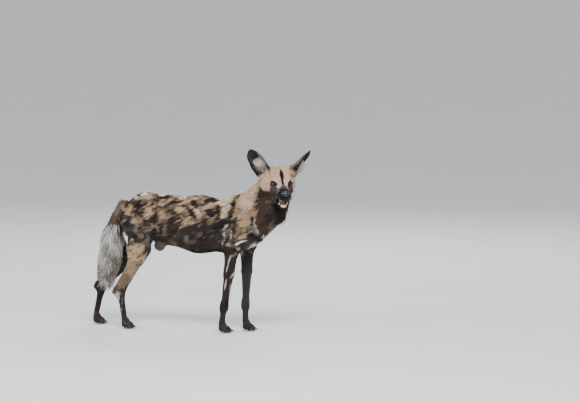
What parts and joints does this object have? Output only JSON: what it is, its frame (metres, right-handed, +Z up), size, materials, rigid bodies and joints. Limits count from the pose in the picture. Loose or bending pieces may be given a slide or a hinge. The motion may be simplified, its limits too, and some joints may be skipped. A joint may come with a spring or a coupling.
{
  "type": "african wild dog",
  "caption": "Life-size still model of a standing African wild dog, with long legs, big round ears, a brush of a tail, and its head turned to its right with the mouth ajar.",
  "frame": {"origin": "on the floor, at the middle of the footprint of the whole dog", "axes": "+X from tail to chest, +Y to the dog's left, +Z up"},
  "size_m": [1.1866, 0.2846, 0.9254],
  "materials": {
    "coat": "short matte hair, mottled tan, black and white",
    "bare_hide": "moist pebbled black skin",
    "mouth_flesh": "wet pink",
    "tooth": "smooth enamel",
    "claw": "dark horn",
    "eyeball": "wet and clear over a dark brown iris"
  },
  "bodies": {
    "root": {"head": "coat", "neck": "coat", "torso": "coat", "tail": "coat", "foreleg_right": "coat", "foreleg_left": "coat", "hind_leg_right": "coat", "hind_leg_left": "coat", "foreleg_paw_right": "coat", "foreleg_paw_left": "coat", "hind_leg_paw_right": "coat", "hind_leg_paw_left": "coat", "ear_right": "coat", "ear_left": "coat", "lower_jaw": "coat", "nose": "bare_hide", "tongue": "mouth_flesh", "eye_right": "eyeball", "eye_left": "eyeball"}
  },
  "joints": []
}
